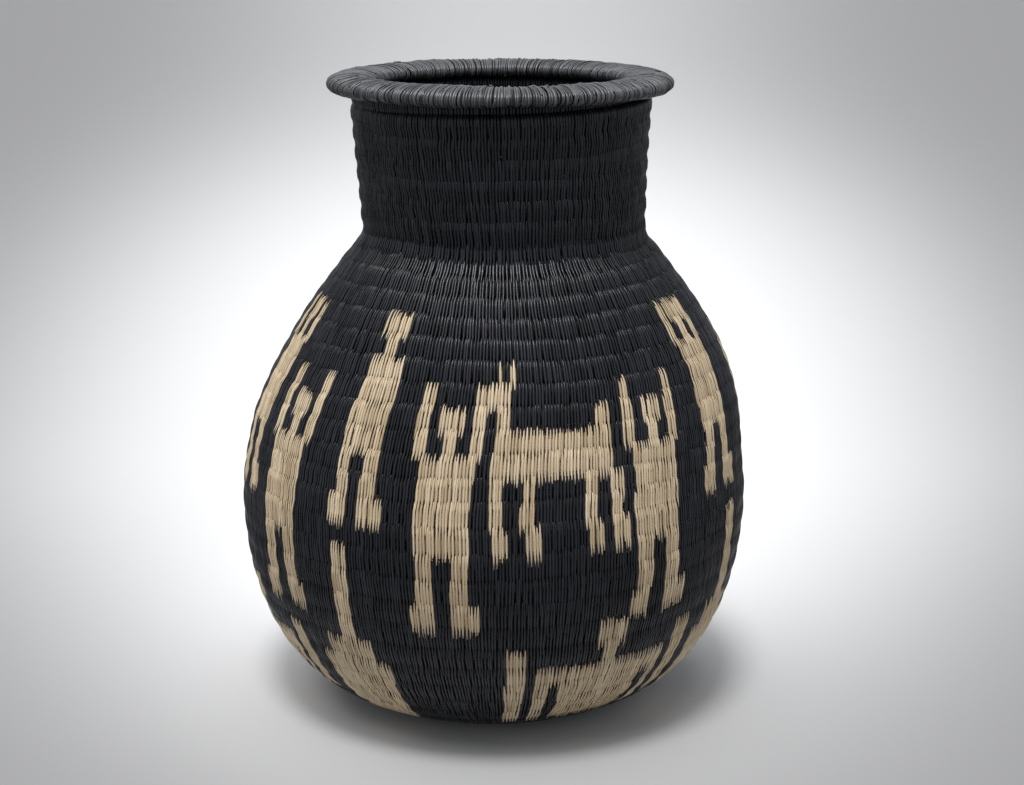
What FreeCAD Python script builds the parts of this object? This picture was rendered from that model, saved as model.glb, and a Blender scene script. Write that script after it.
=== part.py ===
import FreeCAD, Part
import math
import os
import Sketcher

# A coiled palm-fibre basket vase.  One long coil (a fibre bundle wrapped in dyed strips) climbs
# in a spiral from a start knot in the base, over heel, belly and shoulder, up the neck to the
# rim.  Every turn of the coil is its own sub-part.  The turns begin and end at the back (+Y);
# the front of the vase faces -Y.  The origin is on the axis, on the surface the vase stands on.

SIZES = {
    # the outline of the wall's outer face: a flat base, then three arcs that meet smoothly
    "base_edge": 29.4,         # radius of the flat base
    "heel_radius": 51.0,       # arc from the base up to the lower belly
    "heel_angle": 56.0,        # slope of the wall where that arc ends, 90 is upright
    "belly_radius": 88.0,      # arc of the belly, past its widest line
    "belly_angle": 99.6,
    "shoulder_radius": 142.0,  # arc of the shoulder, to the foot of the neck
    "shoulder_angle": 134.5,
    "wall_half": 3.9,          # from the outer face in to the middle of the coil
    # turns of the coil in each zone
    "base_turns": 4,
    "heel_turns": 6,
    "belly_turns": 8,
    "shoulder_turns": 12,
    "neck_turns": 7,
    # the base
    "start_radius": 3.7,       # middle of the coil where its first turn begins
    "knot_hub": 0.4,           # smallest radius of the start knot
    "knot_thickness": 5.2,
    "flat_depth": 0.25,        # how far the underside of the base is worn flat
    # the neck
    "neck_pitch": 6.6,         # rise of one turn
    "neck_flare": 0.4,         # how much further out each turn sits
    # the rim
    "rim_middle": 49.0,        # radius of the middle of the lip
    "rim_half_width": 8.0,
    "rim_half_height": 3.5,
    "rim_bundle": 2.2,         # radius of each of the three bundles in the lip
    # layers of the coil
    "strip_layer": 0.7,        # thickness of the black wrapping
    "natural_layer": 0.25,     # thickness of the natural strips that lie over it
    "seam": 0.05,              # clearance of the outermost layer to the middle of a seam
    "play": 0.05,              # clearance between two layers
    "tail_end": 0.9,           # thickness of the coil's tail where it runs out
}
STEPS_PER_TURN = 480   # the figures are laid out in steps of this share of a turn
FACETS = 12            # sides of the coil's section
TAIL_SECTIONS = 36     # sections that the tail is drawn through
SPLICE_SHARE = 0.9985  # of a turn that one length of bundle fills; the rest is its splice
KNOT_POINTS = 16       # points that the knot's spiral outline is drawn through
KNOT_GAP = 4.0         # degrees between the two ends of that spiral
TRIM_DEPTH = 5.0       # how far below the base the trimming cut begins


# ---------------------------------------------------------------- document and driving sizes

doc = FreeCAD.newDocument("coiled_vase")
sheet = doc.addObject("Spreadsheet::Sheet", "Sizes")
for row, (alias, value) in enumerate(SIZES.items(), start=1):
    sheet.set("A%d" % row, alias)
    sheet.set("B%d" % row, str(value))
    sheet.setAlias("B%d" % row, alias)
doc.recompute()

sub_parts = []


def cell(alias):
    """The number that the sheet holds."""
    return float(sheet.get(alias))


def value_of(expression):
    """What an expression on the sheet's cells comes to."""
    return float(sheet.evalExpression(expression))


def turn_count(zone):
    return int(cell(zone + "_turns"))


# ---------------------------------------------------------------- the coil's path
# A station is the middle of the coil where one turn ends and the next begins.  Each is a pair
# of expressions on the sheet's cells: its radius from the axis and its height.

def arc_centres():
    """Centres of the heel, belly and shoulder arcs, each tangent to the one before."""
    centres = {"heel": ("Sizes.base_edge", "Sizes.heel_radius")}
    for below, zone in (("heel", "belly"), ("belly", "shoulder")):
        radius, height = centres[below]
        step = "(Sizes.%s_radius - Sizes.%s_radius)" % (below, zone)
        angle = "Sizes.%s_angle" % below
        centres[zone] = (
            "%s + %s * sin(%s)" % (radius, step, angle),
            "%s - %s * cos(%s)" % (height, step, angle),
        )
    return centres


ARC_CENTRES = arc_centres()
ARC_START = {"heel": "0", "belly": "Sizes.heel_angle", "shoulder": "Sizes.belly_angle"}


def arc_station(zone, k):
    centre_radius, centre_height = ARC_CENTRES[zone]
    span = "(Sizes.%s_angle - %s)" % (zone, ARC_START[zone])
    angle = "%s + %s * %d / Sizes.%s_turns" % (ARC_START[zone], span, k, zone)
    reach = "(Sizes.%s_radius - Sizes.wall_half)" % zone
    return (
        "%s + %s * sin(%s)" % (centre_radius, reach, angle),
        "%s - %s * cos(%s)" % (centre_height, reach, angle),
    )


def arc_pitch(zone):
    span = "(Sizes.%s_angle - %s)" % (zone, ARC_START[zone])
    reach = "(Sizes.%s_radius - Sizes.wall_half)" % zone
    return "%s * %s * pi / 180 / Sizes.%s_turns" % (reach, span, zone)


BASE_PITCH = "(Sizes.base_edge - Sizes.start_radius) / Sizes.base_turns"
LAYERS = "(Sizes.seam + Sizes.natural_layer + Sizes.play)"
BASE_HEIGHT = "%s / 2 - %s - Sizes.flat_depth" % (BASE_PITCH, LAYERS)
PITCH = {
    "base": BASE_PITCH,
    "heel": arc_pitch("heel"),
    "belly": arc_pitch("belly"),
    "shoulder": arc_pitch("shoulder"),
    "neck": "Sizes.neck_pitch",
}


def station(zone, k):
    if zone == "base":
        return ("Sizes.start_radius + %d * %s" % (k, BASE_PITCH), BASE_HEIGHT)
    if zone == "neck":
        foot_radius, foot_height = arc_station("shoulder", turn_count("shoulder"))
        return (
            "%s + %d * Sizes.neck_flare" % (foot_radius, k),
            "%s + %d * Sizes.neck_pitch" % (foot_height, k),
        )
    return arc_station(zone, k)


class Turn:
    """One turn of the coil: its zone, its number there and the stations at its two ends."""

    def __init__(self, zone, number, start, end, pitches):
        self.name = "%s_turn_%d" % (zone, number)
        self.zone = zone
        self.start = start
        self.end = end
        # a turn beside a tighter zone is as thin as that zone's, so that the turns stay clear
        self.half_pitch = "min(%s) / 2" % "; ".join(pitches)

    def at(self, share):
        """The middle of the coil a share of the way round the turn."""
        return [
            "(%s) * %.6f + (%s) * %.6f" % (a, 1 - share, b, share)
            for a, b in zip(self.start, self.end)
        ]

    def growth(self, share=1.0):
        return "((%s) - (%s)) * %.6f" % (self.end[0], self.start[0], share)

    def rise(self, share=1.0):
        return "((%s) - (%s)) * %.6f" % (self.end[1], self.start[1], share)


def coil_turns():
    zones = list(PITCH)
    turns = []
    for order, zone in enumerate(zones):
        count = turn_count(zone)
        for number in range(1, count + 1):
            pitches = [PITCH[zone]]
            if number == 1 and order > 0:
                pitches.append(PITCH[zones[order - 1]])
            if number == count and order + 1 < len(zones):
                pitches.append(PITCH[zones[order + 1]])
            start = station(zone, number - 1)
            end = station(zone, number)
            if zone == "base" and number == count:
                end = station("heel", 0)
            turns.append(Turn(zone, number, start, end, pitches))
    return turns


TURNS = coil_turns()


# ---------------------------------------------------------------- building blocks

def new_body(name):
    body = doc.addObject("PartDesign::Body", name)
    body.Label = name
    sub_parts.append(body)
    return body


def origin_part(body, role):
    return [f for f in body.Origin.OriginFeatures if f.Role == role][0]


def new_sketch(body, name, plane="YZ_Plane", turned=0.0):
    """A sketch on one of the body's origin planes, turned about the vase's axis."""
    sketch = body.newObject("Sketcher::SketchObject", name)
    sketch.AttachmentSupport = [(origin_part(body, plane), "")]
    sketch.MapMode = "FlatFace"
    if turned:
        about_axis = FreeCAD.Rotation(FreeCAD.Vector(0, 1, 0), turned)
        sketch.AttachmentOffset = FreeCAD.Placement(FreeCAD.Vector(), about_axis)
    return sketch


def bind(sketch, name, kind, places, expression):
    """A named dimension that follows an expression on the sheet."""
    size = value_of(expression)
    index = sketch.addConstraint(Sketcher.Constraint(kind, *places, size))
    sketch.renameConstraint(index, name)
    sketch.setExpression("Constraints." + name, expression)


def faceted_section(sketch, centre, radii):
    """Concentric regular polygons about a centre given by two expressions, the outer one first.

    Each has its corners on a circle of the radius asked for, so that the strips lie in narrow
    facets round the bundle.
    """
    middle = FreeCAD.Vector(value_of(centre[0]), value_of(centre[1]), 0)
    circles = []
    for index, radius in enumerate(radii):
        outline = Part.Circle(middle, FreeCAD.Vector(0, 0, 1), value_of(radius))
        circle = sketch.addGeometry(outline, True)
        corners = [outline.value(2 * math.pi * i / FACETS) for i in range(FACETS)]
        sides = []
        for i in range(FACETS):
            side = Part.LineSegment(corners[i], corners[(i + 1) % FACETS])
            sides.append(sketch.addGeometry(side, False))
        for i, side in enumerate(sides):
            sketch.addConstraint(Sketcher.Constraint("PointOnObject", side, 1, circle))
            sketch.addConstraint(Sketcher.Constraint("Coincident", sides[i - 1], 2, side, 1))
            if i > 0:
                sketch.addConstraint(Sketcher.Constraint("Equal", sides[0], side))
        sketch.addConstraint(Sketcher.Constraint("Horizontal", sides[0], 1, circle, 3))
        bind(sketch, "radius_%d" % index, "Radius", (circle,), radius)
        if circles:
            sketch.addConstraint(Sketcher.Constraint("Coincident", circles[0], 3, circle, 3))
        circles.append(circle)
    bind(sketch, "centre_radius", "DistanceX", (-1, 1, circles[0], 3), centre[0])
    bind(sketch, "centre_height", "DistanceY", (-1, 1, circles[0], 3), centre[1])


def round_section(sketch, centre, radii):
    """Concentric circles, each drawn as a lower and an upper half so that no face closes on
    itself."""
    middle = FreeCAD.Vector(value_of(centre[0]), value_of(centre[1]), 0)
    for index, radius in enumerate(radii):
        outline = Part.Circle(middle, FreeCAD.Vector(0, 0, 1), value_of(radius))
        lower = sketch.addGeometry(Part.ArcOfCircle(outline, math.pi, 2 * math.pi), False)
        upper = sketch.addGeometry(Part.ArcOfCircle(outline, 0, math.pi), False)
        sketch.addConstraint(Sketcher.Constraint("Coincident", lower, 2, upper, 1))
        sketch.addConstraint(Sketcher.Constraint("Coincident", upper, 2, lower, 1))
        for half, end in ((lower, 1), (lower, 2), (upper, 3)):
            sketch.addConstraint(Sketcher.Constraint("Horizontal", half, end, lower, 3))
        bind(sketch, "radius_%d" % index, "Radius", (lower,), radius)
        if index > 0:
            sketch.addConstraint(Sketcher.Constraint("Coincident", 0, 3, lower, 3))
    bind(sketch, "centre_radius", "DistanceX", (-1, 1, 0, 3), centre[0])
    bind(sketch, "centre_height", "DistanceY", (-1, 1, 0, 3), centre[1])


def spiral(body, name, sketch, turn, share=1.0):
    """Carries a section round the axis along a share of one turn of the coil."""
    helix = body.newObject("PartDesign::AdditiveHelix", name)
    helix.Profile = (sketch, [""])
    helix.ReferenceAxis = (origin_part(body, "Z_Axis"), [""])
    helix.Mode = "height-turns-growth"
    helix.Turns = share
    helix.Refine = False
    helix.setExpression("Height", turn.rise(share))
    helix.setExpression("Growth", turn.growth(share))
    return helix


def ring(body, name, sketch):
    revolution = body.newObject("PartDesign::Revolution", name)
    revolution.Profile = (sketch, [""])
    revolution.ReferenceAxis = (origin_part(body, "Z_Axis"), [""])
    revolution.Angle = 360.0
    return revolution


# ---------------------------------------------------------------- the wrapped turns

def wrap_radius(turn):
    return "%s - %s" % (turn.half_pitch, LAYERS)


def trim_flat(body, name):
    """Wears the underside of a base turn flat where the vase stands on it."""
    outline = new_sketch(body, name + "_outline", plane="XY_Plane")
    reach = "2 * Sizes.base_edge"
    circle = Part.Circle(FreeCAD.Vector(), FreeCAD.Vector(0, 0, 1), value_of(reach))
    outline.addGeometry(circle, False)
    outline.addConstraint(Sketcher.Constraint("Coincident", 0, 3, -1, 1))
    bind(outline, "reach", "Radius", (0,), reach)
    pocket = body.newObject("PartDesign::Pocket", name)
    pocket.Profile = (outline, [""])
    pocket.Length = TRIM_DEPTH
    pocket.Reversed = False


def wrapped_turn(turn):
    """The black strips around one turn: a hollow sleeve that the bundle fills."""
    body = new_body(turn.name)
    section = new_sketch(body, turn.name + "_section")
    outer = wrap_radius(turn)
    faceted_section(section, turn.start, [outer, outer + " - Sizes.strip_layer"])
    spiral(body, turn.name + "_sweep", section, turn)
    if turn.zone == "base":
        trim_flat(body, turn.name + "_flat")


def foundation_bundle(zone):
    """The undyed fibre inside the turns of one zone: a length for each turn, end to end."""
    name = zone + "_bundle"
    body = new_body(name)
    for number, turn in enumerate([t for t in TURNS if t.zone == zone], start=1):
        section = new_sketch(body, "%s_section_%d" % (name, number))
        radius = wrap_radius(turn) + " - Sizes.strip_layer - Sizes.play"
        faceted_section(section, turn.start, [radius])
        spiral(body, "%s_sweep_%d" % (name, number), section, turn, SPLICE_SHARE)


def start_knot():
    """The comma-shaped knot that the first turn curls around; it fills the turn's eye."""
    body = new_body("start_knot")
    hub = cell("knot_hub")
    growth = (cell("base_edge") - cell("start_radius")) / turn_count("base")
    points = []
    for i in range(KNOT_POINTS + 1):
        angle = KNOT_GAP / 2 + (360.0 - KNOT_GAP) * i / KNOT_POINTS
        radius = hub + growth * angle / 360.0
        heading = math.radians(90.0 + angle)
        points.append(FreeCAD.Vector(radius * math.cos(heading), radius * math.sin(heading), 0))
    outline = new_sketch(body, "start_knot_outline", plane="XY_Plane")
    curve = Part.BSplineCurve()
    curve.interpolate(points)
    outline.addGeometry(curve, False)
    outline.addGeometry(Part.LineSegment(points[-1], points[0]), False)
    pad = body.newObject("PartDesign::Pad", "start_knot_pad")
    pad.Profile = (outline, [""])
    pad.setExpression("Length", "Sizes.knot_thickness")


def coil_tail():
    """The last turn: the coil thins out evenly under the rim, which brings the mouth level."""
    body = new_body("coil_tail")
    radius, height = station("neck", turn_count("neck"))
    full = "(Sizes.neck_pitch - 2 * %s)" % LAYERS
    sections = []
    for i in range(TAIL_SECTIONS + 1):
        share = i / TAIL_SECTIONS
        thick = "(%s * %.6f + Sizes.tail_end * %.6f)" % (full, 1 - share, share)
        level = "%s + Sizes.neck_pitch / 2 - %s" % (height, LAYERS)
        section = new_sketch(body, "coil_tail_section_%d" % i, turned=360.0 * share)
        middle = (radius, "%s - %s / 2" % (level, thick))
        faceted_section(section, middle, ["%s / 2" % thick])
        sections.append(section)
    doc.recompute()
    loft = body.newObject("PartDesign::AdditiveLoft", "coil_tail_loft")
    loft.Profile = (sections[0], [""])
    loft.Sections = [(section, [""]) for section in sections[1:]]
    loft.Ruled = True


# ---------------------------------------------------------------- the rim

def rim_height():
    top = station("neck", turn_count("neck"))[1]
    return "%s + Sizes.neck_pitch / 2 + Sizes.rim_half_height" % top


def slot_outline(sketch, first, half_width, half_height):
    """A level slot shape: an outer and an inner half circle joined by two level lines."""
    arc_out, arc_in, top, bottom = range(first, first + 4)
    spread = "(%s - %s)" % (half_width, half_height)
    radius = value_of(half_height)
    middle = FreeCAD.Vector(cell("rim_middle"), value_of(rim_height()), 0)
    reach = FreeCAD.Vector(value_of(spread), 0, 0)
    lift = FreeCAD.Vector(0, radius, 0)
    far = middle + reach
    near = middle - reach
    normal = FreeCAD.Vector(0, 0, 1)
    quarter = math.pi / 2
    sketch.addGeometry(Part.ArcOfCircle(Part.Circle(far, normal, radius), -quarter, quarter), False)
    sketch.addGeometry(
        Part.ArcOfCircle(Part.Circle(near, normal, radius), quarter, 3 * quarter), False
    )
    sketch.addGeometry(Part.LineSegment(far + lift, near + lift), False)
    sketch.addGeometry(Part.LineSegment(near - lift, far - lift), False)
    joints = [
        (arc_out, 2, top, 1),
        (top, 2, arc_in, 1),
        (arc_in, 2, bottom, 1),
        (bottom, 2, arc_out, 1),
    ]
    for joint in joints:
        sketch.addConstraint(Sketcher.Constraint("Coincident", *joint))
    for arc in (arc_out, arc_in):
        for end in (1, 2):
            sketch.addConstraint(Sketcher.Constraint("Vertical", arc, end, arc, 3))
    sketch.addConstraint(Sketcher.Constraint("Horizontal", arc_in, 3, arc_out, 3))
    sketch.addConstraint(Sketcher.Constraint("Equal", arc_out, arc_in))
    tag = "outer" if first == 0 else "inner"
    bind(sketch, tag + "_radius", "Radius", (arc_out,), half_height)
    bind(sketch, tag + "_far", "DistanceX", (-1, 1, arc_out, 3), "Sizes.rim_middle + " + spread)
    bind(sketch, tag + "_near", "DistanceX", (-1, 1, arc_in, 3), "Sizes.rim_middle - " + spread)
    bind(sketch, tag + "_height", "DistanceY", (-1, 1, arc_out, 3), rim_height())


def rim_binding():
    """The slanting strips that bind the lip: a hollow sleeve around its three bundles."""
    body = new_body("rim_binding")
    section = new_sketch(body, "rim_binding_section")
    slot_outline(section, 0, "Sizes.rim_half_width", "Sizes.rim_half_height")
    inner_width = "(Sizes.rim_half_width - Sizes.strip_layer)"
    inner_height = "(Sizes.rim_half_height - Sizes.strip_layer)"
    slot_outline(section, 4, inner_width, inner_height)
    ring(body, "rim_binding_ring", section)


def rim_bundles():
    """Three thin bundles side by side, which give the lip its width."""
    body = new_body("rim_bundles")
    for number, side in enumerate((-1, 0, 1), start=1):
        section = new_sketch(body, "rim_bundles_section_%d" % number)
        offset = "%d * 2 * (Sizes.rim_bundle + Sizes.play)" % side
        round_section(section, ("Sizes.rim_middle + " + offset, rim_height()), ["Sizes.rim_bundle"])
        ring(body, "rim_bundles_ring_%d" % number, section)


# ---------------------------------------------------------------- the natural strips
# The figures are laid out in rows (turns, counted down from the foot of the neck) and steps
# (counted from the figure's middle, to the right as seen from outside).  A block is a run of
# natural stitches: first row, last row, left edge, right edge.

def person(arm_rows=3, head_row=1, arms=True, half_head=4, half_body=8):
    """A standing figure: head, neck, four rows of body, legs and turned-out feet."""
    body_row = head_row + 2
    leg_row = body_row + 4
    foot_row = leg_row + 2
    blocks = [
        (head_row, head_row, -half_head, half_head),
        (head_row + 1, head_row + 1, -2, 2),
        (body_row, leg_row - 1, -half_body, half_body),
        (leg_row, foot_row - 1, -half_body + 1, -2),
        (leg_row, foot_row - 1, half_body - 5, half_body),
        (foot_row, foot_row, -half_body - 1, -2),
        (foot_row, foot_row, half_body - 5, half_body + 3),
    ]
    if arms:
        blocks.append((body_row - arm_rows, body_row - 1, -half_body - 3, -half_body + 1))
        blocks.append((body_row - arm_rows, body_row - 1, half_body - 2, half_body + 2))
    return blocks


def animal(length=36):
    """A four-legged figure that looks left, ears and tail up."""
    blocks = [
        (0, 0, 0, 1),
        (0, 0, 3, 5),
        (1, 1, -2, 4),
        (2, 2, 0, 4),
        (2, 2, length - 5, length),
        (3, 4, 0, length),
    ]
    for left in (0, 9, length - 9, length - 1):
        blocks.append((5, 6, left, left + 4))
        blocks.append((7, 7, left + 1, left + 6))
    return blocks


def heavy_animal():
    """A broad low figure between two uprights: small head, deep body, a leg at each end."""
    return [
        (0, 0, -5, 5),
        (1, 1, -2, 3),
        (2, 2, -23, 22),
        (3, 5, -14, 15),
        (3, 5, -23, -18),
        (3, 5, 19, 22),
        (1, 5, -32, -26),
        (1, 4, 25, 31),
    ]


def tall_neck():
    """A figure with a long upright neck over sloping shoulders and a broad body."""
    return [(0, 3, -3, 3), (4, 4, -8, 8), (5, 9, -13, 13)]


# name, blocks, top row, middle in degrees to the right of the front
FIGURES = [
    ("natural_person_1", person(), 7, -10.5),
    ("natural_person_2", person(), 7, 37.0),
    ("natural_person_3", person(arm_rows=2, head_row=0, half_head=6), 4, 59.5),
    ("natural_person_4", person(arms=False, head_row=0, half_head=6, half_body=7), 4, -31.0),
    ("natural_person_5", person(), 7, -53.0),
    ("natural_person_6", person(arm_rows=2, head_row=0), 4, -73.0),
    ("natural_person_7", person(), 7, 132.0),
    ("natural_person_8", person(arm_rows=2, head_row=0), 4, -128.0),
    ("natural_animal_1", animal(), 6, -1.0),
    ("natural_animal_2", animal(), 6, 83.0),
    ("natural_animal_3", heavy_animal(), 17, 27.0),
    ("natural_animal_4", heavy_animal(), 17, -72.0),
    ("natural_tall_neck_1", tall_neck(), 14, -33.5),
    ("natural_tall_neck_2", tall_neck(), 14, 64.0),
]


def figure_turn(row):
    """The turn that a row of the pattern lies on; row 1 is the top turn of the shoulder."""
    wall = [turn for turn in TURNS if turn.zone in ("heel", "belly", "shoulder")]
    return wall[len(wall) - row]


def natural_figure(name, blocks, top_row, middle):
    """The natural strips of one figure, wound over the turns that they cross."""
    body = new_body(name)
    number = 0
    for first_row, last_row, left, right in blocks:
        begin = (180.0 + middle + 360.0 * left / STEPS_PER_TURN) % 360.0
        share = (right - left) / STEPS_PER_TURN
        for row in range(first_row, last_row + 1):
            number += 1
            turn = figure_turn(top_row + row)
            section = new_sketch(body, "%s_section_%d" % (name, number), turned=begin)
            outer = "%s - Sizes.seam" % turn.half_pitch
            radii = [outer, outer + " - Sizes.natural_layer"]
            round_section(section, turn.at(begin / 360.0), radii)
            spiral(body, "%s_run_%d" % (name, number), section, turn, share)


# ---------------------------------------------------------------- assembly

start_knot()
for coil_turn in TURNS:
    wrapped_turn(coil_turn)
for zone_name in PITCH:
    foundation_bundle(zone_name)
coil_tail()
rim_binding()
rim_bundles()
for figure in FIGURES:
    natural_figure(*figure)
doc.recompute()

faults = [o.Name for o in doc.Objects if "Invalid" in o.State or "Error" in o.State]
for sub_part in sub_parts:
    shape = sub_part.Shape
    if shape.isNull() or not shape.isValid() or shape.Volume <= 0:
        faults.append(sub_part.Label)
if faults:
    raise RuntimeError("these failed: " + ", ".join(faults))

for sub_part in sub_parts:
    if sub_part.Label.startswith("base_turn"):
        sweep = doc.getObject(sub_part.Label + "_sweep")
        if sub_part.Shape.Volume >= sweep.Shape.Volume:
            raise RuntimeError(sub_part.Label + " was not trimmed flat")

os.makedirs("parts", exist_ok=True)
for sub_part in sub_parts:
    sub_part.Shape.exportStep(os.path.join("parts", sub_part.Label + ".step"))
print(len(sub_parts), "sub-parts written")
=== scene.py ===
import math

import bpy
import numpy as np
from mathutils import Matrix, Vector


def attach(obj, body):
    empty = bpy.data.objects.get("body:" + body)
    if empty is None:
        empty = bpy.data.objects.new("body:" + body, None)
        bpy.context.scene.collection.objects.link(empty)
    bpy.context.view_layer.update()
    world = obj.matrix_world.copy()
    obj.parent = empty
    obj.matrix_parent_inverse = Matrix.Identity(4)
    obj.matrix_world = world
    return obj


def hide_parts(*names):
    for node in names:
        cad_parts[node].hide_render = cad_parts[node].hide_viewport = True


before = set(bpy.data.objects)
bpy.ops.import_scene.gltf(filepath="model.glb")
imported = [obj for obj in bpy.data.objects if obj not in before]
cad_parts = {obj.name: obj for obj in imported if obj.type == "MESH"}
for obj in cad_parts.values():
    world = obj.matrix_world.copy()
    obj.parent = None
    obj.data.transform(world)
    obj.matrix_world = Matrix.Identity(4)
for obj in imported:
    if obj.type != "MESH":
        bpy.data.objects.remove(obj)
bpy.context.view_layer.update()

# The basket vase, sewn stitch by stitch.  The coil starts in the middle of the base and climbs
# in a spiral.  Its sizes are in millimetres on the CAD's own path, and handmade() turns points
# into metres.  A turn is counted from the back (+Y), and the front of the vase faces -Y.

MM = 0.001
chance = np.random.default_rng(7)

# ---------------------------------------------------------------- the coil's path

START_RADIUS = 3.7
BASE_EDGE = 29.4
BASE_TURNS = 4
BASE_MIDDLE = 2.61       # height of the coil's middle in the base
WALL_HALF = 3.9          # from the wall's outer face in to the middle of the coil
FIRST_ARC_HEIGHT = 51.0  # centre of the heel's arc, straight above the edge of the base
# radius of the outer face's arc, slope in degrees where it ends, turns
WALL_ARCS = ((51.0, 56.0, 6), (88.0, 99.6, 8), (142.0, 134.5, 12))
NECK_TURNS = 7
NECK_PITCH = 6.6
NECK_FLARE = 0.4
TAIL_END = 0.45          # radius of the coil's tail where it runs out
RIM_MIDDLE = 49.0
RIM_HALF_WIDTH = 8.0
RIM_HALF_HEIGHT = 3.5

ZONES = (("base", BASE_TURNS), ("heel", 6), ("belly", 8), ("shoulder", 12), ("neck", NECK_TURNS))


def stations():
    """Radius and height of the coil's middle at the end of every turn."""
    step = (BASE_EDGE - START_RADIUS) / BASE_TURNS
    points = [(START_RADIUS + step * k, BASE_MIDDLE) for k in range(BASE_TURNS)]
    centre = [BASE_EDGE, FIRST_ARC_HEIGHT]
    slope = 0.0
    radius = WALL_ARCS[0][0]
    points.append((BASE_EDGE, FIRST_ARC_HEIGHT - radius + WALL_HALF))
    for next_radius, end, turns in WALL_ARCS:
        centre[0] += (radius - next_radius) * math.sin(math.radians(slope))
        centre[1] -= (radius - next_radius) * math.cos(math.radians(slope))
        radius = next_radius
        for k in range(1, turns + 1):
            angle = math.radians(slope + (end - slope) * k / turns)
            reach = radius - WALL_HALF
            outward, downward = reach * math.sin(angle), reach * math.cos(angle)
            points.append((centre[0] + outward, centre[1] - downward))
        slope = end
    foot = points[-1]
    for k in range(1, NECK_TURNS + 1):
        points.append((foot[0] + NECK_FLARE * k, foot[1] + NECK_PITCH * k))
    return np.array(points)


STATIONS = stations()
TURNS = len(STATIONS) - 1
MOUTH_LEVEL = STATIONS[-1][1] + NECK_PITCH / 2
NECK_RISE = NECK_TURNS * NECK_PITCH
NECK_FOOT = MOUTH_LEVEL - NECK_RISE


def half_thickness(turn):
    """Radius of the coil: full on its way up, then thinning out along the tail."""
    turn = np.asarray(turn, float)
    gap_below = row_gap(turn)
    gap_above = row_gap(np.minimum(turn + 1.0, TURNS))
    full = 0.25 * (gap_below + gap_above)
    tail = np.clip(turn - TURNS, 0.0, 1.0)
    return full * (1 - tail) + TAIL_END * tail


def spine(turn):
    """Radius and height of the coil's middle at a place counted in turns from its start."""
    turn = np.asarray(turn, float)
    at = np.clip(turn, 0.0, TURNS)
    index = np.minimum(at.astype(int), TURNS - 1)
    share = (at - index)[..., None]
    points = STATIONS[index] * (1 - share) + STATIONS[index + 1] * share
    tail = np.clip(turn - TURNS, 0.0, 1.0)
    full = NECK_PITCH / 2
    points[..., 1] += tail * (full - TAIL_END)
    return points


def row_gap(turn):
    """Distance from the coil's middle to the middle of the row below."""
    here = spine(np.clip(turn, 1.0, TURNS))
    below = spine(np.clip(turn, 1.0, TURNS) - 1.0)
    return np.linalg.norm(here - below, axis=-1)


# ---------------------------------------------------------------- the vase is a little uneven

# sideways shift of the vase with height
LEAN_HEIGHTS = (0, 45, 85, 100, 112, 125, 140, 160, 185, 216)
LEAN_SHIFTS = (-1.5, -1.7, -1.4, -0.4, 0.9, 2.1, 2.3, 2.1, 1.4, 1.0)
# how much wider it is to each side than the CAD's round outline, with height
FULLER_HEIGHTS = (0, 10, 30, 45, 60, 85, 102, 115, 128, 148, 160)
FULLER = (3.4, 2.6, 1.8, 0.7, 0.0, 0.2, 1.4, 1.2, 0.5, -0.7, 0.0)
MOUTH_SLOPE = 0.012      # the mouth is a little lower in front than at the back
WORN = 0.8               # what lies lower than this is pressed flat where the vase stands
WAVE = 0.35              # how far the wall waves in and out
WAVE_RISE = 17.0         # the waves turn round the vase by a radian in twice this height
CALM_RADIUS = 40.0       # nearer the axis than this, the wall's unevenness fades out
WANDER = 0.5             # how far the rows wander up and down
# the wandering's two waves: waves round the vase, rise of a radian, share
WANDER_WAVES = ((2, 25.0, 1.0), (5, 12.0, 0.6))
WANDER_START = 40.0      # height at which the wandering is at its full
WANDER_STOP = 15.0       # depth below the mouth at which it starts to fade


def handmade(points):
    """Makes the vase as uneven as a hand-sewn one, and turns millimetres into metres."""
    x, y, z = points[..., 0], points[..., 1], points[..., 2]
    shift = np.interp(z, LEAN_HEIGHTS, LEAN_SHIFTS)
    angle = np.arctan2(y, x)
    wave = WAVE * np.sin(z / WAVE_RISE + angle * 2.0)
    around = np.hypot(x, y) + 1e-6
    reach = np.clip(around / CALM_RADIUS, 0, 1) / around
    swell = 1.0 + wave * reach
    wider = np.interp(z, FULLER_HEIGHTS, FULLER) * reach
    wander = sum(share * np.sin(waves * angle + z / rise) for waves, rise, share in WANDER_WAVES)
    wander = WANDER * wander * np.clip(z / WANDER_START, 0, 1)
    wander = wander * np.clip((MOUTH_LEVEL - z) / WANDER_STOP, 0, 1)
    dip = MOUTH_SLOPE * y * np.clip((z - NECK_FOOT) / NECK_RISE, 0, 1)
    pressed = np.where(z < WORN, WORN * np.exp(np.minimum(z - WORN, 0) / WORN), z)
    return np.stack([x * (swell + wider) + shift, y * swell, pressed + dip + wander], axis=-1) * MM


def polar(radius, heading, height):
    """A point at a heading counted in radians from the back, anticlockwise from above."""
    return np.stack([-radius * np.sin(heading), radius * np.cos(heading), height], axis=-1)


# ---------------------------------------------------------------- meshes from bands and tubes

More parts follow.
